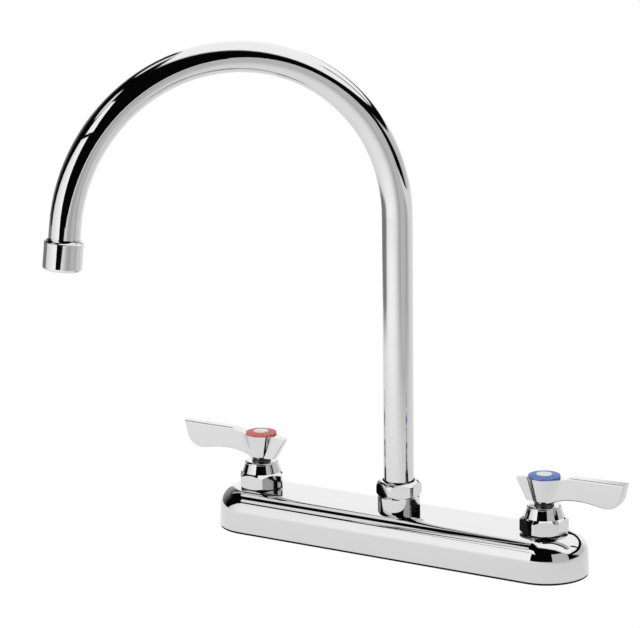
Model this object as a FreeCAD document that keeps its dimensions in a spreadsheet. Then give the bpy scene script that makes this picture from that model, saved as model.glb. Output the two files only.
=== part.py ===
import FreeCAD, Part
import math
import os
import Sketcher
from types import SimpleNamespace

# Deck mount gooseneck faucet with two lever handles on eight inch centres.
# Millimetres, Z up. The origin is on the deck face, on the spout's swivel axis; the front is -Y,
# the hot valve stands at -X and the cold valve at +X.

doc = FreeCAD.newDocument("gooseneck_faucet")
sheet = doc.addObject("Spreadsheet::Sheet", "Sizes")


class Size:
    """A length or an angle: its formula in the sheet's cells, and the number that it gives."""

    def __init__(self, formula, value):
        self.formula = formula
        self.value = value

    def joined(self, sign, other, value):
        return Size("(%s %s %s)" % (self.formula, sign, other.formula), value)

    def __add__(self, other):
        other = as_size(other)
        return self.joined("+", other, self.value + other.value)

    def __sub__(self, other):
        other = as_size(other)
        return self.joined("-", other, self.value - other.value)

    def __mul__(self, other):
        other = as_size(other)
        return self.joined("*", other, self.value * other.value)

    def __truediv__(self, other):
        other = as_size(other)
        return self.joined("/", other, self.value / other.value)

    def __neg__(self):
        return Size("(0 - %s)" % self.formula, -self.value)


def as_size(number):
    return number if isinstance(number, Size) else Size("%.9f" % number, float(number))


# The driving sizes. Each is a named cell of the sheet.
sizes = {
    # Deck and base. Each valve stands valve_inset in from its end of the cover, which puts the
    # two valves on eight inch centres.
    "cover_length": 259.0,
    "valve_inset": 27.9,
    "gasket_thick": 1.4,
    "gasket_inset": 0.5,
    "cover_width": 53.4,
    "cover_top": 25.8,
    "cover_round": 13.0,
    "cover_wall": 2.6,
    "cover_draft": 2.0,
    # Clearances, all radial or along the axis
    "fit_gap": 0.05,
    "hole_gap": 0.4,
    # Waterway under the cover and the supply shanks below the deck
    "casting_radius": 13.0,
    "seat_height": 5.0,
    "inlet_radius": 6.0,
    "cross_height": 12.0,
    "cross_radius": 5.0,
    "cross_wall": 1.0,
    "shank_radius": 10.4,
    "shank_depth": 54.0,
    "supply_thread": 18.0,
    "relief_width": 2.0,
    "relief_depth": 0.9,
    "thread_lead": 1.0,
    # Fixings below the deck, drawn up against a counter of this thickness
    "deck_thick": 20.0,
    "rubber_washer_radius": 18.0,
    "rubber_washer_thick": 3.0,
    "steel_washer_radius": 17.0,
    "steel_washer_thick": 1.5,
    "locknut_flats": 30.0,
    "locknut_height": 7.5,
    # Bonnets
    "bonnet_washer_thick": 0.4,
    "bonnet_washer_radius": 12.9,
    "bonnet_flats": 26.8,
    "bonnet_corner_radius": 15.0,
    "bonnet_hex_top": 36.0,
    "bonnet_bevel": 2.0,
    "bonnet_taper_foot": 12.6,
    "bonnet_taper_head": 10.7,
    "bonnet_top": 43.0,
    "bonnet_rim": 1.3,
    "spigot_radius": 10.4,
    "spigot_foot": 15.5,
    "sleeve_radius": 8.8,
    "sleeve_bore": 8.1,
    "sleeve_foot": 7.3,
    "shoulder_height": 16.0,
    "window_width": 8.0,
    "window_height": 2.8,
    "lug_radius": 5.7,
    "lug_height": 1.3,
    "lug_angle": 44.0,
    "stop_play": 1.0,
    "hot_hex_turn": 0.0,
    "cold_hex_turn": 30.0,
    # Ceramic discs and seat seals
    "disc_thick": 3.0,
    "disc_radius": 8.0,
    "seal_thick": 2.0,
    "seal_radius": 8.6,
    "port_inner_radius": 2.7,
    "port_outer_radius": 6.4,
    "port_angle": 80.0,
    "tang_width": 3.4,
    "tang_length": 12.0,
    "tang_depth": 1.4,
    # Stems
    "stem_radius": 5.0,
    "stem_top": 54.0,
    "lobe_radius": 7.7,
    "lobe_height": 1.6,
    "square_flats": 7.2,
    "square_corner_radius": 4.5,
    "ring_section": 1.6,
    "ring_low": 22.0,
    "ring_high": 29.0,
    "clip_thick": 0.9,
    "clip_radius": 6.1,
    "clip_groove_depth": 0.8,
    "clip_mouth": 5.0,
    # Lever handles
    "hub_foot": 45.3,
    "hub_foot_radius": 6.4,
    "hub_top": 60.7,
    "hub_top_radius": 10.3,
    "web_thick": 2.0,
    "recess_radius": 7.6,
    "blade_thick": 7.0,
    "blade_reach": 55.4,
    "blade_tip_top": 63.8,
    "blade_top_fall": 1.4,
    "blade_dip_reach": 21.0,
    "blade_root_reach": 9.0,
    "blade_blend": 8.0,
    "blade_crest_reach": 24.0,
    "blade_crest_height": 48.8,
    "blade_crest_round": 42.0,
    "blade_slope_reach": 38.0,
    "blade_slope_height": 47.3,
    "blade_slope_round": 66.0,
    "blade_belly_reach": 43.0,
    "blade_belly_height": 46.9,
    "blade_belly_round": 32.0,
    "blade_end_reach": 53.3,
    "blade_end_height": 55.0,
    "blade_end_round": 10.6,
    "tail_reach": 17.8,
    "tail_foot_reach": 10.6,
    "tail_root_thick": 10.4,
    "tail_tip_thick": 4.2,
    "tail_crown_reach": 8.0,
    "tail_drop": 2.0,
    "tail_tip_face": 1.6,
    "tail_blend": 2.5,
    "tail_edge_round": 0.8,
    "blade_edge_round": 1.2,
    "blade_root_thick": 9.2,
    "blade_root_start": 4.0,
    "blade_flare_reach": 20.0,
    "hot_closed_turn": 3.0,
    "cold_closed_turn": 0.0,
    # Handle screws and index buttons
    "screw_radius": 2.4,
    "screw_length": 10.0,
    "screw_head_radius": 4.2,
    "screw_head_height": 2.2,
    "screw_slot_width": 1.2,
    "screw_slot_depth": 1.1,
    "index_radius": 9.8,
    "index_thick": 1.0,
    "index_crown": 1.0,
    "index_skirt_wall": 1.4,
    "index_skirt_depth": 2.6,
    # Spout foot
    "neck_radius": 11.7,
    "neck_top": 39.6,
    "hub_floor": 3.2,
    "hub_chamber_radius": 7.0,
    "hub_chamber_top": 18.0,
    "collar_radius": 13.35,
    "collar_top": 34.8,
    "collar_edge": 0.4,
    "swivel_top": 44.3,
    "swivel_flats": 25.8,
    "swivel_corner_radius": 14.3,
    "swivel_bevel": 1.6,
    "swivel_shoulder": 3.4,
    "swivel_shoulder_round": 3.8,
    "swivel_mouth_gap": 0.75,
    "swivel_turn": -26.0,
    "thrust_thick": 0.8,
    "flange_thick": 1.4,
    "flange_radius": 11.0,
    "ferrule_radius": 8.0,
    "ferrule_foot": 19.0,
    "ferrule_bore": 5.6,
    "ferrule_stub": 8.0,
    "spout_ring_section": 1.9,
    "spout_ring_low": 23.0,
    "spout_ring_high": 31.0,
    # Spout tube and outlet
    "tube_radius": 9.525,
    "tube_wall": 1.0,
    "bend_radius": 104.8,
    "bend_start": 212.0,
    "outlet_lean": 6.0,
    "outlet_stub": 10.7,
    "spout_turn": 230.6,
    "adapter_flare": 2.8,
    "adapter_lip": 0.5,
    "adapter_radius": 11.9,
    "adapter_flange": 1.2,
    "adapter_spigot_radius": 10.4,
    "adapter_spigot": 7.5,
    "aerator_radius": 11.8,
    "aerator_length": 15.0,
    "aerator_edge_round": 2.0,
    "aerator_lip": 1.4,
    "aerator_mouth": 8.8,
    "aerator_washer_thick": 1.6,
    "aerator_washer_bore": 7.4,
    "insert_plate": 1.5,
    "insert_wall": 1.3,
    "insert_hole_radius": 0.8,
    "insert_hole_pitch": 2.6,
}

for row, (alias, number) in enumerate(sizes.items(), start=1):
    sheet.set("A%d" % row, alias)
    sheet.set("B%d" % row, str(number))
    sheet.setAlias("B%d" % row, alias)
doc.recompute()
size = SimpleNamespace(**{
    alias: Size("Sizes." + alias, number) for alias, number in sizes.items()})


def new_body(label):
    body = doc.addObject("PartDesign::Body", label)
    body.Label = label
    return body


def sketch_on(body, name, role, offset=None):
    """An empty sketch on one of the body's own origin planes, moved along its normal by offset."""
    sketch = body.newObject("Sketcher::SketchObject", body.Label + "_" + name)
    plane = next(item for item in body.Origin.OriginFeatures if item.Role == role)
    sketch.AttachmentSupport = [(plane, "")]
    sketch.MapMode = "FlatFace"
    if offset is not None:
        sketch.AttachmentOffset = FreeCAD.Placement(
            FreeCAD.Vector(0, 0, offset.value), FreeCAD.Rotation())
        sketch.setExpression("AttachmentOffset.Base.z", offset.formula)
    return sketch


def hold(sketch, geometry, end, x, y):
    """Fix one point of the sketch at x, y."""
    for kind, axis, value in (("DistanceX", -2, as_size(x)), ("DistanceY", -1, as_size(y))):
        if value.formula == as_size(0).formula:
            sketch.addConstraint(Sketcher.Constraint("PointOnObject", geometry, end, axis))
            continue
        held = sketch.addConstraint(
            Sketcher.Constraint(kind, -1, 1, geometry, end, value.value))
        sketch.setExpression("Constraints[%d]" % held, value.formula)


def set_radius(sketch, geometry, radius):
    radius = as_size(radius)
    held = sketch.addConstraint(Sketcher.Constraint("Radius", geometry, radius.value))
    sketch.setExpression("Constraints[%d]" % held, radius.formula)


def arc_between(start, end, radius, left):
    """The shorter arc from start to end; its centre lies to the left or the right of that way."""
    chord = end - start
    across = FreeCAD.Vector(-chord.y, chord.x, 0).normalize()
    rise = math.sqrt(max(radius ** 2 - (chord.Length / 2) ** 2, 0))
    side = 1 if left else -1
    centre = (start + end) * 0.5 + across * (rise * side)
    middle = centre - across * (radius * side)
    return Part.Arc(start, middle, end)


def outline(sketch, corners, bends=None):
    """A closed chain through the corners. bends makes side number i an arc: (radius, left)."""
    bends = bends or {}
    points = [FreeCAD.Vector(as_size(x).value, as_size(y).value, 0) for x, y in corners]
    sides = []
    for number, start in enumerate(points):
        end = points[(number + 1) % len(points)]
        if number not in bends:
            sides.append((sketch.addGeometry(Part.LineSegment(start, end), False), 1, 2))
            continue
        radius, left = bends[number]
        arc = arc_between(start, end, as_size(radius).value, left)
        first, last = (1, 2) if left else (2, 1)
        sides.append((sketch.addGeometry(arc, False), first, last))
    for number, (geometry, first, last) in enumerate(sides):
        following, start, _ = sides[(number + 1) % len(sides)]
        sketch.addConstraint(
            Sketcher.Constraint("Coincident", geometry, last, following, start))
    for number, (geometry, first, last) in enumerate(sides):
        hold(sketch, geometry, first, *corners[number])
        if number in bends:
            set_radius(sketch, geometry, bends[number][0])


def circle(sketch, radius, x=0, y=0):
    centre = FreeCAD.Vector(as_size(x).value, as_size(y).value, 0)
    round_line = Part.Circle(centre, FreeCAD.Vector(0, 0, 1), as_size(radius).value)
    geometry = sketch.addGeometry(round_line, False)
    hold(sketch, geometry, 3, x, y)
    set_radius(sketch, geometry, radius)


def stadium(sketch, length, width):
    """An outline with two straight sides and full round ends."""
    reach = (length - width) / 2
    radius = width / 2
    s, r = reach.value, radius.value
    up = FreeCAD.Vector(0, 0, 1)
    quarter = math.pi / 2
    back = sketch.addGeometry(
        Part.LineSegment(FreeCAD.Vector(s, r, 0), FreeCAD.Vector(-s, r, 0)), False)
    left = sketch.addGeometry(Part.ArcOfCircle(
        Part.Circle(FreeCAD.Vector(-s, 0, 0), up, r), quarter, 3 * quarter), False)
    front = sketch.addGeometry(
        Part.LineSegment(FreeCAD.Vector(-s, -r, 0), FreeCAD.Vector(s, -r, 0)), False)
    right = sketch.addGeometry(Part.ArcOfCircle(
        Part.Circle(FreeCAD.Vector(s, 0, 0), up, r), -quarter, quarter), False)
    chain = (back, left, front, right)
    for number, geometry in enumerate(chain):
        following = chain[(number + 1) % len(chain)]
        sketch.addConstraint(Sketcher.Constraint("Tangent", geometry, 2, following, 1))
    hold(sketch, left, 3, -reach, 0)
    hold(sketch, right, 3, reach, 0)
    sketch.addConstraint(Sketcher.Constraint("Equal", left, right))
    set_radius(sketch, right, radius)


def at_angle(radius, degrees):
    """The point at this radius and angle."""
    turn = math.radians(degrees)
    return radius * math.cos(turn), radius * math.sin(turn)


def polygon(sketch, flats, count, turn):
    """A regular polygon of this size across its flats, with a corner at the angle turn."""
    corner = flats / 2 / math.cos(math.pi / count)
    outline(sketch, [at_angle(corner, turn + 360.0 * i / count) for i in range(count)])


def sectors(sketch, inner, outer, width, middles):
    """Ring sectors between two radii, each as wide as width in degrees, about these angles."""
    for middle in middles:
        start = middle - width / 2
        end = middle + width / 2
        corners = [at_angle(inner, start), at_angle(outer, start),
                   at_angle(outer, end), at_angle(inner, end)]
        outline(sketch, corners, {1: (outer, True), 3: (inner, False)})


def revolve(body, sketch):
    turned_piece = body.newObject("PartDesign::Revolution", sketch.Name + "_turned")
    turned_piece.Profile = sketch
    turned_piece.ReferenceAxis = (sketch, ["V_Axis"])
    turned_piece.Angle = 360
    sketch.Visibility = False
    return turned_piece


def turned(label, profile, bends=None):
    """A piece turned on its own upright axis from a half profile of (radius, height) corners."""
    body = new_body(label)
    sketch = sketch_on(body, "profile", "XZ_Plane")
    outline(sketch, profile, bends)
    revolve(body, sketch)
    return body


def ring_profile(inner, outer, foot, top):
    return [(inner, foot), (outer, foot), (outer, top), (inner, top)]


def extrude(kind, body, sketch, length, reverse=False, both=False):
    """A pad or a pocket of the sketch, one way along its normal or evenly both ways."""
    feature = body.newObject("PartDesign::" + kind, sketch.Name + "_" + kind.lower())
    feature.Profile = sketch
    feature.Length = length.value
    feature.setExpression("Length", length.formula)
    feature.SideType = "Symmetric" if both else "One side"
    feature.Reversed = reverse
    sketch.Visibility = False
    return feature


def pad(body, sketch, length, both=False):
    return extrude("Pad", body, sketch, length, both=both)


def cut_up(body, sketch, length):
    """A pocket along the sketch's normal."""
    return extrude("Pocket", body, sketch, length, reverse=True)


def cut_both(body, sketch, length):
    return extrude("Pocket", body, sketch, length, both=True)


def trim_to_polygon(body, name, flats, count, turn, outside, foot, height):
    """Cut flats on a turned piece from the height foot upwards."""
    sketch = sketch_on(body, name, "XY_Plane", foot)
    circle(sketch, outside)
    polygon(sketch, flats, count, turn)
    return cut_up(body, sketch, height)


def round_edges(body, feature, name, radius, wanted):
    """Round every edge of the feature that the test wanted picks."""
    doc.recompute()
    names = ["Edge%d" % (number + 1)
             for number, edge in enumerate(feature.Shape.Edges) if wanted(edge)]
    fillet = body.newObject("PartDesign::Fillet", body.Label + "_" + name)
    fillet.Base = (feature, names)
    fillet.Radius = radius.value
    fillet.setExpression("Radius", radius.formula)
    return fillet


def stand_at(body, x, degrees=0.0):
    """Stand a body on the X axis, turned about its own upright axis."""
    body.Placement = FreeCAD.Placement(
        FreeCAD.Vector(x.value, 0, 0), FreeCAD.Rotation(FreeCAD.Vector(0, 0, 1), degrees))
    body.setExpression("Placement.Base.x", x.formula)
    return body


def group(label, members):
    """Identical pieces that share one node, kept as separate solids."""
    compound = doc.addObject("Part::Compound", label)
    compound.Label = label
    compound.Links = members
    return compound


nodes = []
valve_spacing = size.cover_length - size.valve_inset * 2
hot_x = -valve_spacing / 2
cold_x = valve_spacing / 2
casting_top = size.cover_top - size.cover_wall

# Deck gasket: one flat rubber sheet under the cover, with a hole round each shank.
gasket = new_body("deck_gasket")
gasket_sketch = sketch_on(gasket, "sheet", "XY_Plane")
stadium(gasket_sketch, size.cover_length - size.gasket_inset * 2,
        size.cover_width - size.gasket_inset * 2)
for shank_x in (hot_x, cold_x):
    circle(gasket_sketch, size.shank_radius + size.hole_gap, shank_x)
pad(gasket, gasket_sketch, size.gasket_thick)
nodes.append(gasket)

# Deck cover: a cast shell, open below, with drafted sides, a large top round and three holes.


def edges_at(height):
    """A test for the edges that lie flat at this height."""
    low = height.value - size.fit_gap.value
    high = height.value + size.fit_gap.value
    return lambda edge: edge.BoundBox.ZMin > low and edge.BoundBox.ZMax < high


def drafted_block(label, inset, top, top_round):
    """A block of the cover's plan, drawn in by inset, with drafted sides and a rounded top."""
    body = new_body(label)
    plan = sketch_on(body, "plan", "XY_Plane", size.gasket_thick)
    stadium(plan, size.cover_length - inset * 2, size.cover_width - inset * 2)
    block = pad(body, plan, top - size.gasket_thick)
    block.TaperAngle = -size.cover_draft.value
    block.setExpression("TaperAngle", (-size.cover_draft).formula)
    round_edges(body, block, "top_round", top_round, edges_at(top))
    return body


cover_outside = drafted_block("cover_outside", as_size(0), size.cover_top, size.cover_round)
cover_inside = drafted_block("cover_inside", size.cover_wall, casting_top,
                             size.cover_round - size.cover_wall)
cover_holes = sketch_on(cover_inside, "holes", "XY_Plane", casting_top - size.cover_wall)
for valve_x in (hot_x, cold_x):
    circle(cover_holes, size.spigot_radius + size.hole_gap, valve_x)
circle(cover_holes, size.neck_radius + size.hole_gap)
pad(cover_inside, cover_holes, size.cover_wall * 3)
cover = doc.addObject("Part::Cut", "deck_cover")
cover.Label = "deck_cover"
cover.Base = cover_outside
cover.Tool = cover_inside
nodes.append(cover)

# Spout hub: brass centre casting with the threaded neck that carries collar and swivel nut.
hub_bore = size.ferrule_radius + size.fit_gap
hub_floor_top = size.gasket_thick + size.hub_floor
hub = turned("spout_hub", [
    (0, size.gasket_thick), (size.casting_radius, size.gasket_thick),
    (size.casting_radius, casting_top),
    (size.neck_radius, casting_top), (size.neck_radius, size.neck_top), (hub_bore, size.neck_top),
    (hub_bore, size.hub_chamber_top), (size.hub_chamber_radius, size.hub_chamber_top),
    (size.hub_chamber_radius, hub_floor_top), (0, hub_floor_top)])
hub_ports = sketch_on(hub, "ports", "YZ_Plane")
circle(hub_ports, size.cross_radius + size.fit_gap, 0, size.cross_height)
cut_both(hub, hub_ports, size.casting_radius * 4)
nodes.append(hub)


def is_upright(edge):
    return edge.BoundBox.ZLength > (size.hub_top.value - size.hub_foot.value) / 2


def is_one_sided(edge):
    """Edges on one face of a blade or fin, not across it."""
    return edge.BoundBox.YMin * edge.BoundBox.YMax > 0


def blade_joint(edge):
    box = edge.BoundBox
    short_of_flare = box.XMax < size.blade_flare_reach.value - size.fit_gap.value
    return is_upright(edge) and box.XMin > 0 and short_of_flare


def blade_edge(edge):
    """The edges round the blade's outline and round the top of the hub."""
    box = edge.BoundBox
    if box.XLength < size.fit_gap.value:
        return False
    if box.ZMin > size.hub_top.value:
        return True
    past_hub = box.XMin > size.hub_foot_radius.value - size.fit_gap.value
    low = box.ZMax < size.blade_end_height.value
    at_end = box.XMin > size.blade_slope_reach.value
    return is_one_sided(edge) and past_hub and (low or at_end)


def fin_joint(edge):
    box = edge.BoundBox
    return is_upright(edge) and box.XMax < 0 and box.XMin > -size.hub_top_radius.value


def fin_edge(edge):
    box = edge.BoundBox
    return is_one_sided(edge) and box.XMax < -size.hub_top_radius.value and is_upright(edge)


def build_valve(side, valve_x, facing, hex_turn, closed_turn, opening):
    """One valve with its shank, bonnet, ceramic discs, stem and lever handle.

    facing is the way to the spout, in degrees; opening is +1 where the stem opens
    anticlockwise seen from above, and -1 where it opens clockwise.
    """
    cartridge_turn = opening * closed_turn.value
    valve_bore = size.spigot_radius + size.fit_gap
    supply_top = -size.shank_depth + size.supply_thread
    relief_top = supply_top + size.relief_width
    relief_radius = size.shank_radius - size.relief_depth

    # Valve body with its shank: turned brass, a side port to the crossover tube.
    casting = turned(side + "_valve_body", [
        (size.inlet_radius, -size.shank_depth),
        (size.shank_radius - size.thread_lead, -size.shank_depth),
        (size.shank_radius, -size.shank_depth + size.thread_lead), (size.shank_radius, supply_top),
        (relief_radius, supply_top), (relief_radius, relief_top),
        (size.shank_radius, relief_top), (size.shank_radius, size.gasket_thick),
        (size.casting_radius, size.gasket_thick), (size.casting_radius, casting_top),
        (valve_bore, casting_top), (valve_bore, size.seat_height),
        (size.inlet_radius, size.seat_height)])
    port = sketch_on(casting, "port", "YZ_Plane")
    circle(port, size.cross_radius + size.fit_gap, 0, size.cross_height)
    cut_up(casting, port, size.casting_radius * 2)
    stand_at(casting, valve_x, facing)

    # Crossover tube, brazed into the valve body and the spout hub.
    cross = new_body(side + "_crossover_tube")
    cross_start = valve_bore + size.fit_gap
    cross_end = valve_spacing / 2 - hub_bore - size.fit_gap
    cross_ends = sketch_on(cross, "ring", "YZ_Plane", cross_start)
    circle(cross_ends, size.cross_radius, 0, size.cross_height)
    circle(cross_ends, size.cross_radius - size.cross_wall, 0, size.cross_height)
    pad(cross, cross_ends, cross_end - cross_start)
    stand_at(cross, valve_x, facing)

    # Seat seal: rubber ring on the valve body's floor, under the fixed disc.
    disc_foot = size.seat_height + size.seal_thick
    seal = turned(side + "_seat_seal", ring_profile(
        size.port_outer_radius + size.fit_gap, size.seal_radius, size.seat_height, disc_foot))
    stand_at(seal, valve_x)

    # Fixed ceramic disc, with its two ports along the deck.
    fixed = new_body(side + "_fixed_disc")
    fixed_plan = sketch_on(fixed, "plan", "XY_Plane", disc_foot)
    circle(fixed_plan, size.disc_radius)
    sectors(fixed_plan, size.port_inner_radius, size.port_outer_radius, size.port_angle.value, (0, 180))
    pad(fixed, fixed_plan, size.disc_thick)
    stand_at(fixed, valve_x, cartridge_turn)

    # Moving ceramic disc: ports a quarter turn away when closed, slot across the top for the stem.
    moving_foot = disc_foot + size.disc_thick + size.fit_gap
    moving_top = moving_foot + size.disc_thick
    moving = new_body(side + "_moving_disc")
    moving_plan = sketch_on(moving, "plan", "XY_Plane", moving_foot)
    circle(moving_plan, size.disc_radius)
    sectors(moving_plan, size.port_inner_radius, size.port_outer_radius, size.port_angle.value,
            (90, 270))
    pad(moving, moving_plan, size.disc_thick)
    slot_half = size.tang_width / 2 + size.fit_gap
    slot = sketch_on(moving, "slot", "XY_Plane", moving_top - size.tang_depth)
    outline(slot, [(-size.disc_radius * 2, -slot_half), (size.disc_radius * 2, -slot_half),
                   (size.disc_radius * 2, slot_half), (-size.disc_radius * 2, slot_half)])
    cut_up(moving, slot, size.tang_depth * 2)
    stand_at(moving, valve_x, cartridge_turn)

    # Bonnet: one turned chrome piece, a hex with a tapered head over a screwed spigot,
    # and below that the sleeve that holds the discs.
    washer_top = size.cover_top + size.bonnet_washer_thick
    stem_bore = size.stem_radius + size.fit_gap
    hex_bevel_radius = size.bonnet_flats / 2 - size.fit_gap
    bonnet = turned(side + "_bonnet", [
        (size.sleeve_bore, size.sleeve_foot), (size.sleeve_radius, size.sleeve_foot),
        (size.sleeve_radius, size.spigot_foot), (size.spigot_radius, size.spigot_foot),
        (size.spigot_radius, washer_top), (hex_bevel_radius, washer_top),
        (size.bonnet_corner_radius, washer_top + size.bonnet_bevel / 2),
        (size.bonnet_corner_radius, size.bonnet_hex_top - size.bonnet_bevel),
        (size.bonnet_taper_foot, size.bonnet_hex_top),
        (size.bonnet_taper_head, size.bonnet_top - size.bonnet_rim),
        (size.bonnet_taper_head - size.bonnet_rim, size.bonnet_top), (stem_bore, size.bonnet_top),
        (stem_bore, size.shoulder_height), (size.sleeve_bore, size.shoulder_height)],
        {9: (size.bonnet_rim, True)})
    trim_to_polygon(bonnet, "hex", size.bonnet_flats, 6, hex_turn.value - cartridge_turn,
                    size.bonnet_corner_radius * 2, washer_top, size.bonnet_hex_top - washer_top)
    windows = sketch_on(bonnet, "windows", "YZ_Plane")
    window_top = size.spigot_foot - size.fit_gap
    window_half = size.window_width / 2
    outline(windows, [(-window_half, window_top - size.window_height),
                      (window_half, window_top - size.window_height),
                      (window_half, window_top), (-window_half, window_top)])
    cut_both(bonnet, windows, size.sleeve_radius * 4)
    lugs = sketch_on(bonnet, "stop_lugs", "XY_Plane", size.shoulder_height - size.lug_height)
    sectors(lugs, size.lug_radius, size.sleeve_radius, size.lug_angle.value, (90, 270))
    pad(bonnet, lugs, size.lug_height)
    stand_at(bonnet, valve_x, cartridge_turn)

    # Stem: turned brass with two stop lobes, a tang into the moving disc, ring grooves,
    # a clip groove above the bonnet and a square end for the handle.
    ring_floor = size.stem_radius - size.ring_section
    ring_room = size.ring_section / 2 + size.fit_gap
    clip_foot = size.bonnet_top + size.fit_gap
    clip_floor = size.stem_radius - size.clip_groove_depth
    clip_room_top = clip_foot + size.clip_thick + size.fit_gap
    square_foot = size.hub_foot - size.fit_gap
    lobe_top = size.shoulder_height - size.fit_gap
    lobe_foot = size.shoulder_height - size.lobe_height
    screw_room = size.screw_radius + size.fit_gap
    web_foot = size.stem_top + size.fit_gap
    head_foot = web_foot + size.web_thick
    screw_tip = head_foot - size.screw_length
    stem_profile = [(0, lobe_foot), (size.stem_radius, lobe_foot)]
    for ring_z in (size.ring_low, size.ring_high):
        stem_profile += [(size.stem_radius, ring_z - ring_room), (ring_floor, ring_z - ring_room),
                         (ring_floor, ring_z + ring_room), (size.stem_radius, ring_z + ring_room)]
    stem_profile += [
        (size.stem_radius, clip_foot), (clip_floor, clip_foot), (clip_floor, clip_room_top),
        (size.stem_radius, clip_room_top), (size.stem_radius, square_foot),
        (size.square_corner_radius, square_foot), (size.square_corner_radius, size.stem_top),
        (screw_room, size.stem_top), (screw_room, screw_tip - size.fit_gap),
        (0, screw_tip - size.fit_gap)]
    stem = turned(side + "_stem", stem_profile)
    trim_to_polygon(stem, "square", size.square_flats, 4, 45.0, size.square_corner_radius * 2,
                    square_foot, size.stem_top - square_foot)
    lobe_middle = 180.0 - opening * 45.0
    lobes = sketch_on(stem, "lobes", "XY_Plane", lobe_foot)
    lobe_width = 90.0 - size.lug_angle.value - size.stop_play.value * 2
    sectors(lobes, size.stem_radius / 2, size.lobe_radius, lobe_width, (lobe_middle, lobe_middle + 180))
    pad(stem, lobes, lobe_top - lobe_foot)
    tang_foot = moving_top - size.tang_depth + size.fit_gap
    tang = sketch_on(stem, "tang", "XY_Plane", tang_foot)
    outline(tang, [(-size.tang_length / 2, -size.tang_width / 2),
                   (size.tang_length / 2, -size.tang_width / 2),
                   (size.tang_length / 2, size.tang_width / 2),
                   (-size.tang_length / 2, size.tang_width / 2)])
    pad(stem, tang, lobe_foot - tang_foot)
    stand_at(stem, valve_x, cartridge_turn)

    # Stem rings: two rubber rings in the stem's grooves.
    rings = []
    for name, ring_z in (("low", size.ring_low), ("high", size.ring_high)):
        ring = new_body(side + "_ring_" + name)
        ring_sketch = sketch_on(ring, "section", "XZ_Plane")
        circle(ring_sketch, size.ring_section / 2, size.stem_radius - size.ring_section / 2, ring_z)
        revolve(ring, ring_sketch)
        rings.append(stand_at(ring, valve_x))
    stem_rings = group(side + "_stem_rings", rings)

    # Stem clip: open spring ring in the stem's groove, just above the bonnet.
    clip = turned(side + "_stem_clip", ring_profile(
        clip_floor, size.clip_radius, clip_foot, clip_foot + size.clip_thick))
    mouth = sketch_on(clip, "mouth", "XY_Plane", clip_foot)
    outline(mouth, [(0, -size.clip_mouth / 2), (size.clip_radius * 2, -size.clip_mouth / 2),
                    (size.clip_radius * 2, size.clip_mouth / 2), (0, size.clip_mouth / 2)])
    cut_up(clip, mouth, size.clip_thick)
    stand_at(clip, valve_x, cartridge_turn + 90.0)

    # Lever handle: a conical hub, an upright blade that runs out of it in a large round,
    # and a short tapering fin on the other side.
    handle = new_body(side + "_lever_handle")
    fin = sketch_on(handle, "fin", "XY_Plane", size.hub_foot)
    outline(fin, [(0, -size.tail_root_thick / 2), (0, size.tail_root_thick / 2),
                  (-size.tail_reach, size.tail_tip_thick / 2),
                  (-size.tail_reach, -size.tail_tip_thick / 2)])
    pad(handle, fin, size.hub_top - size.hub_foot)
    fin_tip_top = size.hub_top - size.tail_drop
    fin_tip_foot = fin_tip_top - size.tail_tip_face
    fin_slope = sketch_on(handle, "fin_slope", "XZ_Plane")
    outline(fin_slope, [(-size.tail_foot_reach, size.hub_foot), (-size.tail_reach, fin_tip_foot),
                        (-size.tail_reach * 2, fin_tip_foot), (-size.tail_reach * 2, size.hub_foot)])
    cut_both(handle, fin_slope, size.tail_root_thick * 2)
    fin_crown = sketch_on(handle, "fin_crown", "XZ_Plane")
    outline(fin_crown, [(-size.tail_crown_reach, size.hub_top), (-size.tail_reach, fin_tip_top),
                        (-size.tail_reach * 2, fin_tip_top), (-size.tail_reach * 2, size.blade_tip_top),
                        (-size.tail_crown_reach, size.blade_tip_top)])
    cut_both(handle, fin_crown, size.tail_root_thick * 2)
    hub_sketch = sketch_on(handle, "hub", "XZ_Plane")
    hub_flare = (size.hub_top_radius - size.hub_foot_radius) / (size.hub_top - size.hub_foot)
    outline(hub_sketch, [
        (0, size.hub_foot), (size.hub_foot_radius, size.hub_foot),
        (size.hub_foot_radius + hub_flare * (size.blade_tip_top - size.hub_foot), size.blade_tip_top),
        (0, size.blade_tip_top)])
    revolve(handle, hub_sketch)
    root_half = size.blade_root_thick / 2
    blade_half = size.blade_thick / 2
    flare = root_half - blade_half
    flare_run = size.blade_flare_reach - size.blade_root_start
    flare_round = (flare_run * flare_run + flare * flare) / (flare * 2)
    blade_plan = sketch_on(handle, "blade_plan", "XY_Plane", size.hub_foot)
    outline(blade_plan, [
        (0, -root_half), (size.blade_root_start, -root_half), (size.blade_flare_reach, -blade_half),
        (size.blade_reach, -blade_half), (size.blade_reach, blade_half),
        (size.blade_flare_reach, blade_half),
        (size.blade_root_start, root_half), (0, root_half)],
        {1: (flare_round, False), 5: (flare_round, False)})
    blade = pad(handle, blade_plan, size.blade_tip_top - size.hub_foot)
    round_edges(handle, blade, "blade_blend", size.blade_blend, blade_joint)
    behind = -size.hub_top_radius * 2
    across = size.hub_top_radius * 4
    blade_side = sketch_on(handle, "blade_side", "XZ_Plane")
    outline(blade_side, [
        (0, size.hub_foot), (size.hub_foot_radius, size.hub_foot),
        (size.blade_crest_reach, size.blade_crest_height),
        (size.blade_slope_reach, size.blade_slope_height),
        (size.blade_belly_reach, size.blade_belly_height),
        (size.blade_end_reach, size.blade_end_height),
        (size.blade_reach, size.blade_tip_top), (behind, size.blade_tip_top - size.blade_top_fall),
        (behind, size.blade_tip_top * 2), (size.blade_reach * 2, size.blade_tip_top * 2),
        (size.blade_reach * 2, 0), (0, 0)],
        {1: (size.blade_crest_round, False), 2: (size.blade_slope_round, False),
         3: (size.blade_belly_round, True), 4: (size.blade_end_round, True)})
    blade_cut = cut_both(handle, blade_side, across)
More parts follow.
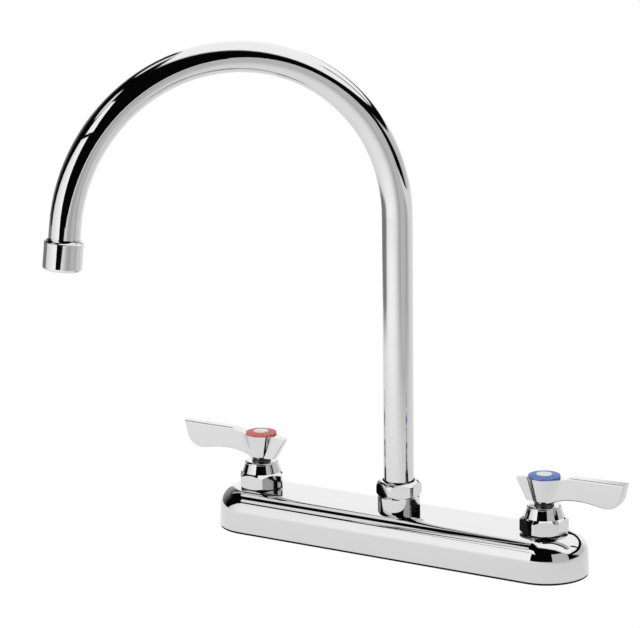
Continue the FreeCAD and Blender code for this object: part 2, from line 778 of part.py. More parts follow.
    round_edges(handle, blade_cut, "blade_edges", size.blade_edge_round, blade_edge)
    hub_dip = sketch_on(handle, "hub_dip", "XZ_Plane")
    dip_run = size.blade_dip_reach - size.blade_root_reach
    dip_rise = size.blade_tip_top - size.hub_top
    outline(hub_dip, [(behind, size.hub_top), (size.blade_root_reach, size.hub_top),
                      (size.blade_dip_reach, size.blade_tip_top), (behind, size.blade_tip_top)],
            {1: ((dip_run * dip_run + dip_rise * dip_rise) / (dip_rise * 2), True)})
    hub_cut = cut_both(handle, hub_dip, across)
    fin_blend = round_edges(handle, hub_cut, "fin_blend", size.tail_blend, fin_joint)
    round_edges(handle, fin_blend, "fin_edges", size.tail_edge_round, fin_edge)
    socket = sketch_on(handle, "socket", "XY_Plane", size.hub_foot - size.fit_gap)
    polygon(socket, size.square_flats + size.fit_gap * 2, 4, 45.0)
    cut_up(handle, socket, web_foot - size.hub_foot + size.fit_gap)
    screw_hole = sketch_on(handle, "screw_hole", "XY_Plane", web_foot - size.fit_gap)
    circle(screw_hole, screw_room)
    cut_up(handle, screw_hole, size.web_thick * 2)
    recess = sketch_on(handle, "recess", "XY_Plane", head_foot)
    circle(recess, size.recess_radius)
    cut_up(handle, recess, size.blade_tip_top - head_foot)
    stand_at(handle, valve_x, cartridge_turn + (180.0 if opening > 0 else 0.0))

    # Handle screw: holds the handle down on the stem's end.
    screw = turned(side + "_handle_screw", [
        (0, screw_tip), (size.screw_radius, screw_tip), (size.screw_radius, head_foot),
        (size.screw_head_radius, head_foot),
        (size.screw_head_radius, head_foot + size.screw_head_height),
        (0, head_foot + size.screw_head_height)])
    drive = sketch_on(screw, "slot", "XY_Plane",
                      head_foot + size.screw_head_height - size.screw_slot_depth)
    outline(drive, [(-size.screw_head_radius * 2, -size.screw_slot_width / 2),
                    (size.screw_head_radius * 2, -size.screw_slot_width / 2),
                    (size.screw_head_radius * 2, size.screw_slot_width / 2),
                    (-size.screw_head_radius * 2, size.screw_slot_width / 2)])
    cut_up(screw, drive, size.screw_slot_depth * 2)
    stand_at(screw, valve_x, cartridge_turn)

    # Index button: slightly domed plastic disc with a skirt that snaps into the handle's recess.
    skirt_radius = size.recess_radius - size.fit_gap
    index_edge_top = size.hub_top + size.index_thick
    dome_radius = ((size.index_radius * size.index_radius + size.index_crown * size.index_crown)
                   / (size.index_crown * 2))
    index = turned(side + "_index_button", [
        (skirt_radius - size.index_skirt_wall, size.hub_top - size.index_skirt_depth),
        (skirt_radius, size.hub_top - size.index_skirt_depth), (skirt_radius, size.hub_top),
        (size.index_radius, size.hub_top), (size.index_radius, index_edge_top),
        (0, index_edge_top + size.index_crown), (0, size.hub_top),
        (skirt_radius - size.index_skirt_wall, size.hub_top)],
        {4: (dome_radius, True)})
    stand_at(index, valve_x, cartridge_turn)

    nodes.extend([casting, cross, seal, fixed, moving, bonnet, stem, stem_rings, clip,
                  handle, screw, index])


build_valve("hot", hot_x, 0.0, size.hot_hex_turn, size.hot_closed_turn, 1)
build_valve("cold", cold_x, 180.0, size.cold_hex_turn, size.cold_closed_turn, -1)


def pair(label, build):
    """The same fixing on both valve axes, as one node of two solids."""
    members = []
    for side, valve_x in (("hot", hot_x), ("cold", cold_x)):
        members.append(stand_at(build(label + "_" + side), valve_x))
    nodes.append(group(label, members))


# Bonnet washers: thin black rings between the hexes and the cover.
pair("bonnet_washers", lambda label: turned(label, ring_profile(
    size.spigot_radius + size.fit_gap, size.bonnet_washer_radius, size.cover_top,
    size.cover_top + size.bonnet_washer_thick)))

# Fixings below the deck: rubber washer, steel washer and locknut on each shank.
shank_hole = size.shank_radius + size.fit_gap
rubber_top = -size.deck_thick
steel_top = rubber_top - size.rubber_washer_thick
nut_top = steel_top - size.steel_washer_thick
pair("rubber_washers", lambda label: turned(label, ring_profile(
    shank_hole, size.rubber_washer_radius, steel_top, rubber_top)))
pair("steel_washers", lambda label: turned(label, ring_profile(
    shank_hole, size.steel_washer_radius, nut_top, steel_top)))


def locknut(label):
    nut = new_body(label)
    plan = sketch_on(nut, "plan", "XY_Plane", nut_top - size.locknut_height)
    polygon(plan, size.locknut_flats, 6, 0.0)
    circle(plan, shank_hole)
    pad(nut, plan, size.locknut_height)
    return nut


pair("locknuts", locknut)

# Spout collar: chrome ring screwed down the neck, holding the middle of the cover.
neck_hole = size.neck_radius + size.fit_gap
collar = turned("spout_collar", [
    (neck_hole, size.cover_top), (size.collar_radius, size.cover_top),
    (size.collar_radius, size.collar_top - size.collar_edge),
    (size.collar_radius - size.collar_edge, size.collar_top), (neck_hole, size.collar_top)])
nodes.append(collar)

# Swivel nut: chrome hex with a rounded shoulder; its lip holds the ferrule's flange down.
flange_foot = size.neck_top + size.thrust_thick + size.fit_gap
flange_top = flange_foot + size.flange_thick
lip_foot = flange_top + size.fit_gap
shoulder_foot = size.swivel_top - size.swivel_shoulder
swivel = turned("swivel_nut", [
    (neck_hole, size.collar_top), (size.swivel_flats / 2 - size.fit_gap, size.collar_top),
    (size.swivel_corner_radius, size.collar_top + size.swivel_bevel),
    (size.swivel_corner_radius, shoulder_foot),
    (size.swivel_corner_radius - size.swivel_shoulder, size.swivel_top),
    (size.tube_radius + size.swivel_mouth_gap, size.swivel_top),
    (size.tube_radius + size.swivel_mouth_gap, lip_foot),
    (neck_hole, lip_foot)], {3: (size.swivel_shoulder_round, True)})
trim_to_polygon(swivel, "hex", size.swivel_flats, 6, size.swivel_turn.value,
                size.swivel_corner_radius * 2,
                size.collar_top, size.swivel_top - size.collar_top)
nodes.append(swivel)

# Thrust washer: plastic ring on the neck's end, under the ferrule's flange.
nodes.append(turned("thrust_washer", ring_profile(
    hub_bore, size.flange_radius, size.neck_top, size.neck_top + size.thrust_thick)))

# Spout ferrule: brass spigot in the hub's bore, soldered into the foot of the tube.
tube_bore = size.tube_radius - size.tube_wall
spout_ring_floor = size.ferrule_radius - size.spout_ring_section
spout_ring_room = size.spout_ring_section / 2 + size.fit_gap
ferrule_profile = [(size.ferrule_bore, size.ferrule_foot), (size.ferrule_radius, size.ferrule_foot)]
for ring_z in (size.spout_ring_low, size.spout_ring_high):
    ferrule_profile += [
        (size.ferrule_radius, ring_z - spout_ring_room), (spout_ring_floor, ring_z - spout_ring_room),
        (spout_ring_floor, ring_z + spout_ring_room), (size.ferrule_radius, ring_z + spout_ring_room)]
ferrule_profile += [
    (size.ferrule_radius, flange_foot), (size.flange_radius, flange_foot),
    (size.flange_radius, flange_top),
    (tube_bore - size.fit_gap, flange_top), (tube_bore - size.fit_gap, flange_top + size.ferrule_stub),
    (size.ferrule_bore, flange_top + size.ferrule_stub)]


def swing(body):
    """Turn a spout piece about the swivel axis to where the spout rests."""
    body.Placement = FreeCAD.Placement(
        FreeCAD.Vector(), FreeCAD.Rotation(FreeCAD.Vector(0, 0, 1), size.spout_turn.value))
    return body


nodes.append(swing(turned("spout_ferrule", ferrule_profile)))

# Spout rings: two rubber rings in the ferrule's grooves.
spout_rings = []
for name, ring_z in (("low", size.spout_ring_low), ("high", size.spout_ring_high)):
    ring = new_body("spout_ring_" + name)
    ring_sketch = sketch_on(ring, "section", "XZ_Plane")
    circle(ring_sketch, size.spout_ring_section / 2, size.ferrule_radius - size.spout_ring_section / 2,
           ring_z)
    revolve(ring, ring_sketch)
    spout_rings.append(ring)
nodes.append(group("spout_rings", spout_rings))

# Spout tube: straight riser, one long bend, and a short straight end that leans outwards.
tube = new_body("spout_tube")
lean = math.radians(size.outlet_lean.value)
bend_end_x = size.bend_radius + size.bend_radius * math.cos(lean)
bend_end_z = size.bend_start + size.bend_radius * math.sin(lean)
outlet_x = bend_end_x + size.outlet_stub * math.sin(lean)
outlet_z = bend_end_z - size.outlet_stub * math.cos(lean)
path = sketch_on(tube, "path", "XZ_Plane")
riser_foot = FreeCAD.Vector(0, flange_top.value, 0)
riser_top = FreeCAD.Vector(0, size.bend_start.value, 0)
bend_top = FreeCAD.Vector(size.bend_radius.value, (size.bend_start + size.bend_radius).value, 0)
bend_end = FreeCAD.Vector(bend_end_x.value, bend_end_z.value, 0)
outlet_end = FreeCAD.Vector(outlet_x.value, outlet_z.value, 0)
riser = path.addGeometry(Part.LineSegment(riser_foot, riser_top), False)
bend = path.addGeometry(Part.Arc(riser_top, bend_top, bend_end), False)
stub = path.addGeometry(Part.LineSegment(bend_end, outlet_end), False)
path.addConstraint(Sketcher.Constraint("Coincident", riser, 2, bend, 2))
path.addConstraint(Sketcher.Constraint("Tangent", bend, 1, stub, 1))
hold(path, riser, 1, 0, flange_top)
hold(path, riser, 2, 0, size.bend_start)
hold(path, bend, 3, size.bend_radius, size.bend_start)
hold(path, stub, 2, outlet_x, outlet_z)
tube_ring = sketch_on(tube, "ring", "XY_Plane", flange_top)
circle(tube_ring, size.tube_radius)
circle(tube_ring, tube_bore)
sweep = tube.newObject("PartDesign::AdditivePipe", "spout_tube_sweep")
sweep.Profile = tube_ring
sweep.Spine = (path, ["Edge1", "Edge2", "Edge3"])
tube_ring.Visibility = False
path.Visibility = False
nodes.append(swing(tube))


def hang(body):
    """Place an outlet piece, drawn with the tube's end at its own origin, on the leaning tube end."""
    at_end = FreeCAD.Placement(
        FreeCAD.Vector(outlet_x.value, 0, outlet_z.value),
        FreeCAD.Rotation(FreeCAD.Vector(0, 1, 0), -size.outlet_lean.value))
    turn = FreeCAD.Placement(
        FreeCAD.Vector(), FreeCAD.Rotation(FreeCAD.Vector(0, 0, 1), size.spout_turn.value))
    body.Placement = turn.multiply(at_end)
    return body


# Outlet adapter: flared ring soldered over the tube's end, with the thread for the aerator.
adapter_bore = size.tube_radius + size.fit_gap
flange_under = -size.adapter_flange
spigot_end = flange_under - size.adapter_spigot
flare_round = size.adapter_radius - adapter_bore - size.adapter_lip
nodes.append(hang(turned("outlet_adapter", [
    (tube_bore, spigot_end), (size.adapter_spigot_radius, spigot_end),
    (size.adapter_spigot_radius, flange_under), (size.adapter_radius, flange_under),
    (size.adapter_radius, size.adapter_lip), (adapter_bore + size.adapter_lip, size.adapter_flare),
    (adapter_bore, size.adapter_flare), (adapter_bore, 0), (tube_bore, 0)],
    {4: (size.adapter_flare, False)})))

# Aerator shell: chrome cup screwed on the adapter.
shell_top = flange_under - size.fit_gap
shell_end = shell_top - size.aerator_length
shell_bore = size.adapter_spigot_radius + size.fit_gap
nodes.append(hang(turned("aerator_shell", [
    (size.aerator_mouth, shell_end), (size.aerator_radius - size.aerator_edge_round, shell_end),
    (size.aerator_radius, shell_end + size.aerator_edge_round), (size.aerator_radius, shell_top),
    (shell_bore, shell_top), (shell_bore, shell_end + size.aerator_lip),
    (size.aerator_mouth, shell_end + size.aerator_lip)],
    {1: (size.aerator_edge_round, True)})))

# Aerator washer: rubber ring between the adapter's end and the insert.
washer_end = spigot_end - size.aerator_washer_thick
nodes.append(hang(turned("aerator_washer", ring_profile(
    size.aerator_washer_bore, size.adapter_spigot_radius, washer_end, spigot_end))))

# Aerator insert: plastic cup with a perforated plate, resting on the shell's lip.
insert_foot = shell_end + size.aerator_lip
insert = turned("aerator_insert", [
    (0, insert_foot), (size.adapter_spigot_radius, insert_foot),
    (size.adapter_spigot_radius, washer_end),
    (size.adapter_spigot_radius - size.insert_wall, washer_end),
    (size.adapter_spigot_radius - size.insert_wall, insert_foot + size.insert_plate),
    (0, insert_foot + size.insert_plate)])
insert_holes = sketch_on(insert, "holes", "XY_Plane", insert_foot - size.fit_gap)
circle(insert_holes, size.insert_hole_radius)
for ring_number in (1, 2):
    for hole_number in range(6 * ring_number):
        hole_x, hole_y = at_angle(
            size.insert_hole_pitch * ring_number, 360.0 * hole_number / (6 * ring_number))
        circle(insert_holes, size.insert_hole_radius, hole_x, hole_y)
cut_up(insert, insert_holes, size.insert_plate * 2)
nodes.append(hang(insert))

doc.recompute()
for item in doc.Objects:
    if "Invalid" in item.State or "Error" in item.State:
        raise RuntimeError("%s did not build: %s" % (item.Name, item.State))
os.makedirs("parts", exist_ok=True)
for node in nodes:
    if node.Shape.isNull() or not node.Shape.isValid():
        raise RuntimeError("%s has no valid shape" % node.Label)
    node.Shape.exportStep("parts/%s.step" % node.Label)
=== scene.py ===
import math

import bmesh
import bpy
from mathutils import Matrix, Vector


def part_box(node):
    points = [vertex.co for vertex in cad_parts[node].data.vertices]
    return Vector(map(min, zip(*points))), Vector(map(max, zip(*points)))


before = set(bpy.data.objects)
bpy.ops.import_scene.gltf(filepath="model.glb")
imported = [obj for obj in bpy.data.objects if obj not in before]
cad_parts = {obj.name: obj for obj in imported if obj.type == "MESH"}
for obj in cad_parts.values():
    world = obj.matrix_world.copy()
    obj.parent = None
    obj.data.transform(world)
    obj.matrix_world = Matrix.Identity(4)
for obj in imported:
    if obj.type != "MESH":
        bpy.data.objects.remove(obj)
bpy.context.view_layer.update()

# Deck gasket: a die-cut sheet of black rubber between the cover and the deck.
# Only its edge shows, as a thin dark line under the chrome.


class Tone:
    """A value on a surface. Sums and products of tones add the Math nodes they stand for."""

    def __init__(self, tree, socket=None):
        self.tree = tree
        self.socket = socket

    def node(self, kind, settings, inputs, output=0):
        """One node: its settings first, then the values or links of its sockets."""
        made = self.tree.nodes.new("ShaderNode" + kind)
        for setting, value in settings.items():
            setattr(made, setting, value)
        for name, value in inputs.items():
            if isinstance(value, Tone):
                self.tree.links.new(value.socket, made.inputs[name])
            else:
                made.inputs[name].default_value = value
        return Tone(self.tree, made.outputs[output])

    def maths(self, operation, *values):
        return self.node("Math", {"operation": operation}, dict(enumerate(values)))

    def __add__(self, other):
        return self.maths("ADD", self, other)

    def __radd__(self, other):
        return self.maths("ADD", other, self)

    def __sub__(self, other):
        return self.maths("SUBTRACT", self, other)

    def __rsub__(self, other):
        return self.maths("SUBTRACT", other, self)

    def __mul__(self, other):
        return self.maths("MULTIPLY", self, other)

    def __rmul__(self, other):
        return self.maths("MULTIPLY", other, self)

    def __truediv__(self, other):
        return self.maths("DIVIDE", self, other)

    def __rtruediv__(self, other):
        return self.maths("DIVIDE", other, self)

    def __pow__(self, power):
        return self.maths("POWER", self, power)

    def rise(self, low, high):
        """0 below low, 1 above high, with a soft step between."""
        return self.node("MapRange", {"interpolation_type": "SMOOTHSTEP"},
                         {"Value": self, "From Min": low, "From Max": high})


def new_finish(label, constants):
    """An empty finish with its even values set, and the surface that its tones are made on."""
    made = bpy.data.materials.new(label)
    made.use_nodes = True
    for name, value in constants.items():
        made.node_tree.nodes["Principled BSDF"].inputs[name].default_value = value
    return made, Tone(made.node_tree)


def lay_on(made, tones):
    """Feeds the values that change over a finish to its shader."""
    shader = made.node_tree.nodes["Principled BSDF"]
    for name, tone in tones.items():
        made.node_tree.links.new(tone.socket, shader.inputs[name])


def object_place(surface):
    """Where each point lies on its own object, in metres."""
    return surface.node("TexCoord", {}, {}, "Object")


def speckle(surface, place, grain, detail=2.0):
    """Noise whose patches are about one grain across, in metres."""
    return surface.node("TexNoise", {}, {"Vector": place, "Scale": 1.0 / grain, "Detail": detail})


def grey(level):
    return (level, level, level, 1)


def between(surface, share, first, second):
    """A colour between two others."""
    return surface.node("Mix", {"data_type": "RGBA"}, {0: share, 6: first, 7: second}, 2)


def relief(surface, height, depth):
    """A bump whose full height is the depth, in metres."""
    return surface.node("Bump", {}, {"Height": height, "Distance": depth}, "Normal")


def dress(made, *names):
    """Puts a finish on all slots of the named pieces."""
    for name in names:
        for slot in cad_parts[name].material_slots:
            slot.material = made


def rubber(label, dark, dusty):
    """Moulded rubber: fine pores under a patchy, dusty bloom."""
    made, surface = new_finish(label, {"Specular IOR Level": 0.1})
    place = object_place(surface)
    bloom = speckle(surface, place, grain=0.006, detail=4.0)
    pores = speckle(surface, place, grain=0.0004)
    lay_on(made, {"Base Color": between(surface, bloom, dark, dusty),
                  "Roughness": 0.5 + bloom * 0.3,
                  "Normal": relief(surface, pores, depth=0.00006)})
    return made


dress(rubber("gasket_rubber", dark=grey(0.004), dusty=grey(0.012)), "deck_gasket")


# Water way: cast brass valve bodies with long threaded shanks, a brass hub in the middle and two
# brass tubes brazed between them. The cover hides all but the shanks below the deck.
def measured(surface, place, axis):
    """How far a place lies along one axis."""
    return surface.node("SeparateXYZ", {}, {"Vector": place}, axis)


def brass(label, light, dull, ring_pitch, ring_depth):
    """Machined brass: tool marks run round each upright part, with a thin tarnish over them."""
    made, surface = new_finish(label, {"Metallic": 1.0})
    place = object_place(surface)
    height = measured(surface, place, "Z")
    tarnish = speckle(surface, place, grain=0.009, detail=5.0)
    pits = speckle(surface, place, grain=0.0007)
    marks = surface.maths("SINE", height * (math.tau / ring_pitch))
    lay_on(made, {"Base Color": between(surface, tarnish, light, dull),
                  "Roughness": 0.22 + tarnish * 0.22,
                  "Normal": relief(surface, marks * 0.5 + pits * 0.6, ring_depth)})
    return made


dress(brass("shank_brass", light=(0.72, 0.5, 0.2, 1), dull=(0.45, 0.28, 0.1, 1),
            ring_pitch=0.0018, ring_depth=0.00035),
      "hot_valve_body", "cold_valve_body")
dress(brass("hub_brass", light=(0.7, 0.48, 0.19, 1), dull=(0.4, 0.25, 0.09, 1),
            ring_pitch=0.0005, ring_depth=0.00006),
      "spout_hub", "hot_crossover_tube", "cold_crossover_tube")


# Deck cover: a thin cast zinc shell with round ends, polished and chrome plated, that drops over
# the water way and hides it. Its big flat top and soft upper edge mirror the room.
def chrome(label, wave, wave_depth, haze):
    """Plated chrome: slow waves left by the polishing wheel, and a thin uneven haze."""
    made, surface = new_finish(label, {"Metallic": 1.0})
    place = object_place(surface)
    swell = speckle(surface, place, grain=wave, detail=1.0)
    wiped = speckle(surface, place, grain=0.012, detail=5.0)
    lay_on(made, {"Base Color": between(surface, wiped, grey(0.585), grey(0.615)),
                  "Roughness": 0.012 + wiped * haze,
                  "Normal": relief(surface, swell, wave_depth)})
    return made


dress(chrome("cover_chrome", wave=0.05, wave_depth=0.00003, haze=0.025), "deck_cover")

# Fixings under the deck: a rubber washer, a zinc plated steel washer and a brass locknut on each
# shank pull the faucet down on the deck.
dress(rubber("washer_rubber", dark=grey(0.01), dusty=grey(0.03)), "rubber_washers")


def steel(label, light, dark, scratch):
    """Bright steel with fine rubbing marks."""
    made, surface = new_finish(label, {"Metallic": 1.0})
    place = object_place(surface)
    cloud = speckle(surface, place, grain=0.005, detail=3.0)
    marks = speckle(surface, place, grain=scratch)
    lay_on(made, {"Base Color": between(surface, cloud, light, dark),
                  "Roughness": 0.2 + cloud * 0.25,
                  "Normal": relief(surface, marks, depth=0.00002)})
    return made


dress(steel("plated_steel", light=(0.55, 0.56, 0.58, 1), dark=(0.4, 0.4, 0.38, 1), scratch=0.0004),
      "steel_washers")
dress(brass("locknut_brass", light=(0.74, 0.53, 0.22, 1), dull=(0.5, 0.32, 0.12, 1),
            ring_pitch=0.0006, ring_depth=0.00005),
      "locknuts")

# Valve cartridge: a soft seat seal and two lapped ceramic discs that slide on each other
# to shut the water off, pressed together inside the bonnet.
dress(rubber("seal_rubber", dark=grey(0.008), dusty=grey(0.02)), "hot_seat_seal", "cold_seat_seal")


def lapped_ceramic(label, light, dark):
    """Ground and polished ceramic, a little cloudy from the firing."""
    made, surface = new_finish(label, {"Specular IOR Level": 0.6})
    place = object_place(surface)
    fired = speckle(surface, place, grain=0.003, detail=4.0)
    lay_on(made, {"Base Color": between(surface, fired, light, dark),
                  "Roughness": 0.15 + fired * 0.15})
    return made


dress(lapped_ceramic("disc_ceramic", light=(0.82, 0.8, 0.76, 1), dark=(0.7, 0.68, 0.63, 1)),
      "hot_fixed_disc", "cold_fixed_disc", "hot_moving_disc", "cold_moving_disc")

# Bonnets: turned brass, chrome plated, each a hex for the spanner with a tapered head above it.
# A thin black ring seals each of them on the cover.
dress(rubber("ring_rubber", dark=grey(0.004), dusty=grey(0.012)), "bonnet_washers")
dress(chrome("bonnet_chrome", wave=0.012, wave_depth=0.000004, haze=0.05), "hot_bonnet", "cold_bonnet")

# Stems: turned brass spindles that carry the handles, coloured near black as painted shade for the dark
# recess round them. Two rubber rings seal each of them in its bonnet and an open spring clip keeps it
# down.
# The stems' near black colour is painted shade and painted dark reflection, not the metal's own colour.
dress(brass("stem_painted_shade", light=(0.13, 0.125, 0.12, 1), dull=grey(0.04),
            ring_pitch=0.0004, ring_depth=0.00003),
      "hot_stem", "cold_stem")
dress(rubber("stem_ring_rubber", dark=grey(0.006), dusty=grey(0.015)),
      "hot_stem_rings", "cold_stem_rings")
dress(steel("clip_steel", light=(0.2, 0.2, 0.21, 1), dark=grey(0.08), scratch=0.0002),
      "hot_stem_clip", "cold_stem_clip")

# Lever handles: cast zinc, polished and chrome plated, a tall thin blade to one side of a conical
# hub and a short fin to the other. Each sits on the square end of its stem.
dress(chrome("handle_chrome", wave=0.02, wave_depth=0.000012, haze=0.06),
      "hot_lever_handle", "cold_lever_handle")

# Handle screws: small slotted screws of bright turned steel. Each holds a handle down on its stem
# and is hidden by the index button above it.
dress(steel("screw_steel", light=grey(0.5), dark=(0.35, 0.34, 0.33, 1), scratch=0.0003),
      "hot_handle_screw", "cold_handle_screw")


# Index buttons: domed plastic discs that snap into the handles, with a coloured ring round a plain
# white middle: red for hot, blue for cold.
def reach_from(surface, place, centre):
    """How far a place lies from the upright line through a centre."""
    along = measured(surface, place, "X") - centre[0]
    across = measured(surface, place, "Y") - centre[1]
    return (along ** 2 + across ** 2) ** 0.5


def index_colour(label, button, ring_light, ring_dark):
    """Printed plastic: white to about half of the button's reach, and the ring beyond."""
    made, surface = new_finish(label, {"Specular IOR Level": 0.12})
    lowest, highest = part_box(button)
    middle = (lowest + highest) / 2
    half_width = (highest.x - lowest.x) / 2
    place = object_place(surface)
    share = reach_from(surface, place, middle) / half_width
    ink = speckle(surface, place, grain=0.0011, detail=3.0).rise(0.3, 0.7)
    ring = between(surface, ink, ring_dark, ring_light)
    white = between(surface, ink, (0.93, 0.93, 0.92, 1), (0.98, 0.98, 0.97, 1))
    lay_on(made, {"Base Color": between(surface, share.rise(0.48, 0.52), white, ring),
                  "Roughness": 0.4 + ink * 0.2,
                  "Normal": relief(surface, share.rise(0.47, 0.53), depth=0.0001)})
    return made


dress(index_colour("hot_index", "hot_index_button",
                   ring_light=(0.93, 0.28, 0.26, 1), ring_dark=(0.62, 0.1, 0.09, 1)),
      "hot_index_button")
dress(index_colour("cold_index", "cold_index_button",
                   ring_light=(0.24, 0.36, 0.8, 1), ring_dark=(0.08, 0.15, 0.45, 1)),
      "cold_index_button")

# Spout foot: a round chrome collar screwed down on the cover and a chrome hex nut above it
# that holds the spout's flange, so the spout can swing on a slippery plastic washer.
dress(chrome("nut_chrome", wave=0.012, wave_depth=0.000004, haze=0.05), "spout_collar", "swivel_nut")


def moulded_plastic(label, first, second):
    """Plain moulded plastic with faint flow marks and a fine grain."""
    made, surface = new_finish(label, {"Specular IOR Level": 0.45})
    place = object_place(surface)
    flow = speckle(surface, place, grain=0.004, detail=3.0)
    pores = speckle(surface, place, grain=0.0003)
    lay_on(made, {"Base Color": between(surface, flow, first, second),
                  "Roughness": 0.35 + flow * 0.15,
                  "Normal": relief(surface, pores, depth=0.00001)})
    return made


dress(moulded_plastic("washer_plastic", first=(0.8, 0.8, 0.78, 1), second=(0.72, 0.72, 0.69, 1)),
      "thrust_washer")

# Spout: drawn brass tube bent to a gooseneck in one plane, then polished and chrome plated.
# A brass ferrule with two rubber rings is soldered into its foot and plated with it.
dress(rubber("ferrule_ring_rubber", dark=grey(0.006), dusty=grey(0.015)), "spout_rings")
dress(chrome("spout_chrome", wave=0.03, wave_depth=0.00001, haze=0.05), "spout_tube", "spout_ferrule")

# Outlet: a chrome adapter soldered on the tube's end, and the aerator screwed on it: a chrome cup
# with a rubber washer and a white plastic insert of small holes.
dress(chrome("outlet_chrome", wave=0.012, wave_depth=0.000004, haze=0.05),
      "outlet_adapter", "aerator_shell")
dress(rubber("aerator_rubber", dark=grey(0.01), dusty=grey(0.03)), "aerator_washer")
dress(moulded_plastic("insert_plastic", first=(0.78, 0.79, 0.8, 1), second=(0.68, 0.69, 0.7, 1)),
      "aerator_insert")

# Floor: the plain white table top that the faucet stands on, seen by the camera alone.
# From below it's clear, so the shanks can be looked at.
camera_turn = math.radians(31.27)
floor_half = 9


def sheet(label, corners, turn=camera_turn):
    """A flat panel in the room's own axes: x to the camera's right, y away from it, z up."""
    mesh = bpy.data.meshes.new(label)
    mesh.from_pydata(corners, [], [range(len(corners))])
    made = bpy.data.objects.new(label, mesh)
    made.rotation_euler.z = turn
    bpy.context.scene.collection.objects.link(made)
    return made


def seen_by(made, camera, mirrors):
    """Says whether the camera sees a surface, and whether the faucet's own surfaces do."""
    made.visible_camera = camera
    made.visible_glossy = mirrors
    made.visible_diffuse = mirrors
    made.visible_shadow = False


def glow(label, bright=None, strength=1.0, one_sided=False):
    """A surface that only shines, and if one sided is clear from its back."""
    made, surface = new_finish(label, {"Base Color": grey(0), "Specular IOR Level": 0.0,
                                       "Emission Color": grey(1), "Emission Strength": strength})
    if bright is not None:
        lay_on(made, {"Emission Color": bright(surface)})
    if one_sided:
        shining = Tone(made.node_tree, made.node_tree.nodes["Principled BSDF"].outputs[0])
        back = surface.node("NewGeometry", {}, {}, "Backfacing")
        clear = surface.node("BsdfTransparent", {}, {})
        both = surface.node("MixShader", {}, {0: back, 1: shining, 2: clear})
        made.node_tree.links.new(both.socket, made.node_tree.nodes["Material Output"].inputs["Surface"])
    return made


floor = sheet("floor", [(-floor_half, -floor_half, 0), (floor_half, -floor_half, 0),
                        (floor_half, floor_half, 0), (-floor_half, floor_half, 0)])
floor.data.materials.append(glow("white_floor", one_sided=True))
seen_by(floor, camera=True, mirrors=False)


# Table light: the same table top as the chrome mirrors it, a hair under the floor. It is brighter
# by the soft box on the left, darker in front on the right, and ends towards the room's dark side.
def table_light(surface):
    """Brightness by place on the table, in metres right and away, where 1 is the floor's white."""
    lit_spot = (-0.6, -0.5)
    dim_spot = (0.75, -0.8)
    place = object_place(surface)
    right = measured(surface, place, "X")
    away = measured(surface, place, "Y")
    lit = 1 - reach_from(surface, place, lit_spot).rise(0.0, 0.95)
    dim = 1 - reach_from(surface, place, dim_spot).rise(0.45, 1.05)
    back_left = away * 0.42 - right * 0.906
    shade = back_left.rise(0.5, 0.7) * away.rise(-0.1, 0.1)
    return 1.04 + lit * 0.4 - dim * 0.46 - shade * 0.75


table_level = -0.0005
table_corners = [(-2.8, -0.02), (1.6, -2.72), (2.8, -2.72), (2.8, 2.8), (-2.8, 2.8)]
table = sheet("table_light", [(right, away, table_level) for right, away in table_corners])
table.data.materials.append(glow("table_glow", table_light))
seen_by(table, camera=False, mirrors=True)


# Room: a far round backdrop that only the faucet's surfaces see. It is white behind, above and to
# the right, with two dark gaps on the right. Towards the camera and the left it is dark, but for a
# dim wall at the back and two round lamps high up.
def room_light(surface):
    """Brightness by direction from the room's middle, where 1 is the floor's white.

    A direction is given by its parts to the right, near and up, each from -1 to 1.
    """
    unlit = 0.003
    lamp_white = 1.1
    place = surface.node("VectorMath", {"operation": "NORMALIZE"}, {0: object_place(surface)})
    right = measured(surface, place, "X")
    near = 0 - measured(surface, place, "Y")
    up = measured(surface, place, "Z")

    def facing(to_right, to_near, to_up):
        """How well a direction agrees with a given one: 1 along it, 0 square to it."""
        return right * to_right + near * to_near + up * to_up

    # The walls' three edges, and their white, which grows upwards and falls off low on the right.
    front_edge = facing(0.44078, -0.86505, 0.24272).rise(-0.07, 0.07)
    right_edge = facing(0.0, -0.64916, 0.76104).rise(-0.03, 0.05)
    left_edge = right.rise(-0.245, -0.185)
    low_right = right.rise(0.5, 0.95) * (1 - up.rise(0.15, 0.3))
    white = 1.28 + up.rise(0.25, 0.6) * 0.12 - low_right * 0.5

    # The two dark gaps: a level one that is a little taller further right, and a slanted one.
    level_top = 0.3 + right.rise(0.1, 0.5) * 0.07
    level_gap = up.rise(0.2, 0.23) * (1 - (up - level_top).rise(-0.02, 0.0)) * right.rise(0.14, 0.2)
    slant = surface.maths("ABSOLUTE", facing(-0.318, -0.937, 0.145))
    slant_ends = right.rise(0.4, 0.5) * up.rise(0.19, 0.22) * (1 - up.rise(0.62, 0.68))
    slant_gap = (1 - slant.rise(0.04, 0.07)) * slant_ends
    walls = front_edge * right_edge * left_edge * (1 - level_gap) * (1 - slant_gap)

    # The dim wall, by degrees round the room: 0 at the camera, 90 on the left and 180 behind.
    bearing = surface.maths("ARCTAN2", 0 - right, near) * math.degrees(1)
    dim_wall = bearing.rise(112, 158) * (1 - up.rise(0.25, 0.55)) * (1 - left_edge) * 0.4

    side_lamp = facing(-0.638, 0.0783, 0.766).rise(0.988, 0.9925)
    back_lamp = facing(-0.3427, -0.4232, 0.8387).rise(0.986, 0.990)
    lamps = surface.maths("MAXIMUM", side_lamp, back_lamp)
    return unlit + walls * white + dim_wall + (1 - walls) * lamps * lamp_white


room_mesh = bpy.data.meshes.new("room")
ball = bmesh.new()
bmesh.ops.create_uvsphere(ball, u_segments=48, v_segments=24, radius=3.0)
ball.to_mesh(room_mesh)
ball.free()
room = bpy.data.objects.new("room", room_mesh)
room.location = (-0.05, -0.05, 0.2)
room.rotation_euler.z = camera_turn
bpy.context.scene.collection.objects.link(room)
room_mesh.materials.append(glow("room_glow", room_light))
seen_by(room, camera=False, mirrors=True)

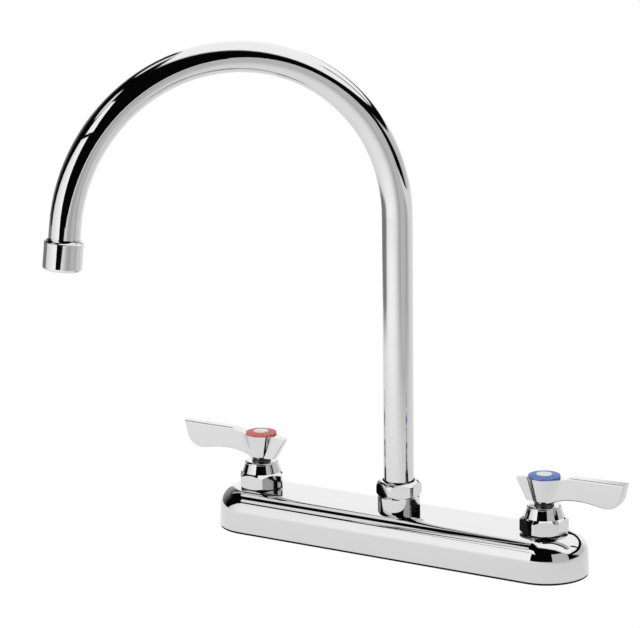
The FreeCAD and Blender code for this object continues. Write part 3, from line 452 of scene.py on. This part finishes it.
# Soft boxes: two large lit panels, one above the other, to the left of the camera.
# Each grows brighter towards the camera's end.
box_turn = camera_turn - math.radians(63)
box_away = -1.1
low_box = [(-0.92, 0.0), (0.43, 0.0), (0.43, 0.88), (-0.26, 0.88)]
high_box = [(-0.12, 0.93), (0.7, 0.93), (0.38, 1.5), (-0.06, 1.5)]


def box_light(surface):
    across = measured(surface, object_place(surface), "X")
    return 1.05 + 0.4 * across.rise(-0.8, 0.4)


for label, outline in (("low_soft_box", low_box), ("high_soft_box", high_box)):
    box = sheet(label, [(across, box_away, up) for across, up in outline], box_turn)
    box.data.materials.append(glow(label, box_light))
    seen_by(box, camera=False, mirrors=True)

# Grey board: a plain backdrop board that stands on the table in front on the right, well clear of
# the faucet, and takes the blackness off the right hand sides of the base.
board_height = 0.3
board_left = (0.17, -0.41)
board_right = (0.453, -0.289)
board = sheet("grey_board", [(*board_left, 0.0), (*board_right, 0.0),
                             (*board_right, board_height), (*board_left, board_height)])
board.data.materials.append(glow("grey_board", strength=0.73))
seen_by(board, camera=False, mirrors=True)

# World: plain white, for views that look past the floor's edge or up from below it.
# Colours are shown as they are, with no film curve.
sky = bpy.data.worlds.new("white_room")
sky.use_nodes = True
sky.node_tree.nodes["Background"].inputs["Color"].default_value = grey(1)
bpy.context.scene.world = sky
bpy.context.scene.view_settings.view_transform = "Standard"

# Camera: a long lens about 1.8 m away, a little above the deck and to the right of the spout's
# front, rolled by less than a degree.
lens = bpy.data.cameras.new("camera")
lens.lens = 159.8
lens.sensor_fit = "HORIZONTAL"
lens.sensor_width = 36.0
camera = bpy.data.objects.new("camera", lens)
stand = Vector((0.8459, -1.4852, 0.5515))
aim = Vector((-0.05626, 0.0, 0.14444))
roll = math.radians(-0.69)
look = (aim - stand).to_track_quat("-Z", "Y").to_matrix().to_4x4()
camera.matrix_world = Matrix.Translation(stand) @ look @ Matrix.Rotation(roll, 4, "Z")
bpy.context.scene.collection.objects.link(camera)
bpy.context.scene.camera = camera
